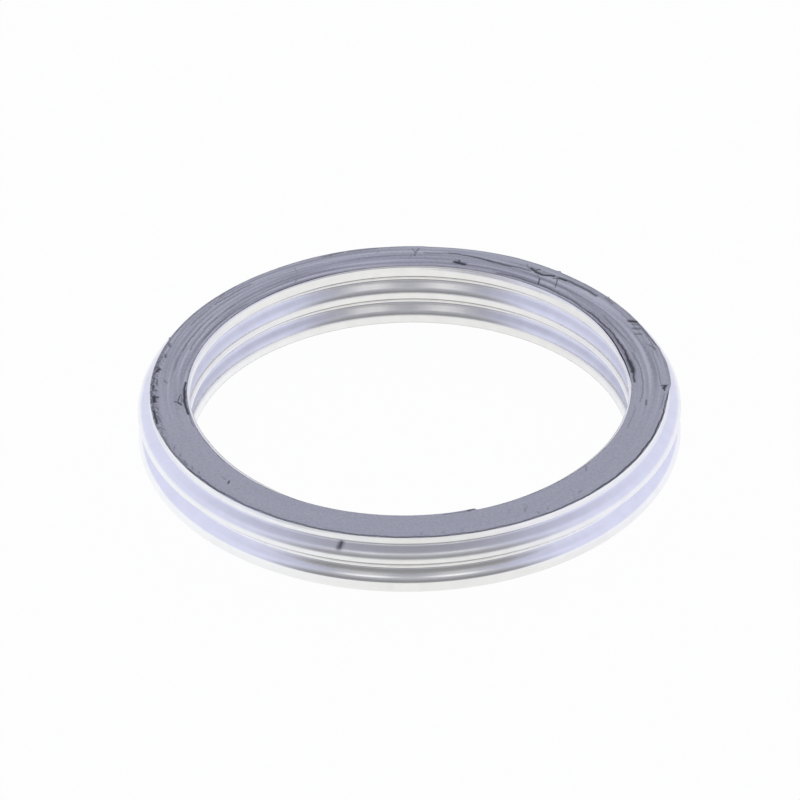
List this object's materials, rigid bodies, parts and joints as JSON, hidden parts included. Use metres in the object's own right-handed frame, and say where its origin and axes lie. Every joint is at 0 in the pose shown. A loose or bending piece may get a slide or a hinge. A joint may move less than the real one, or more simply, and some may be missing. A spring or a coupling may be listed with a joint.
{
  "type": "exhaust gasket",
  "caption": "Round exhaust pipe gasket: graphite wound between folded sheet-metal bands, squeezed between a port and a pipe flange to seal them.",
  "frame": {"origin": "centre of the lower graphite face, on the axis of the ring", "axes": "+Z along the ring's axis, from the lower graphite face to the upper one"},
  "size_m": [0.042, 0.042, 0.0054],
  "materials": {
    "graphite": "soft dull grey expanded graphite with a faint violet sheen, tape streaks and small cracks",
    "band_steel": "bright thin stainless sheet, softly polished on the folds with fine brushing"
  },
  "bodies": {
    "root": {"graphite_winding": "graphite", "outer_band": "band_steel", "inner_band": "band_steel"}
  },
  "joints": []
}
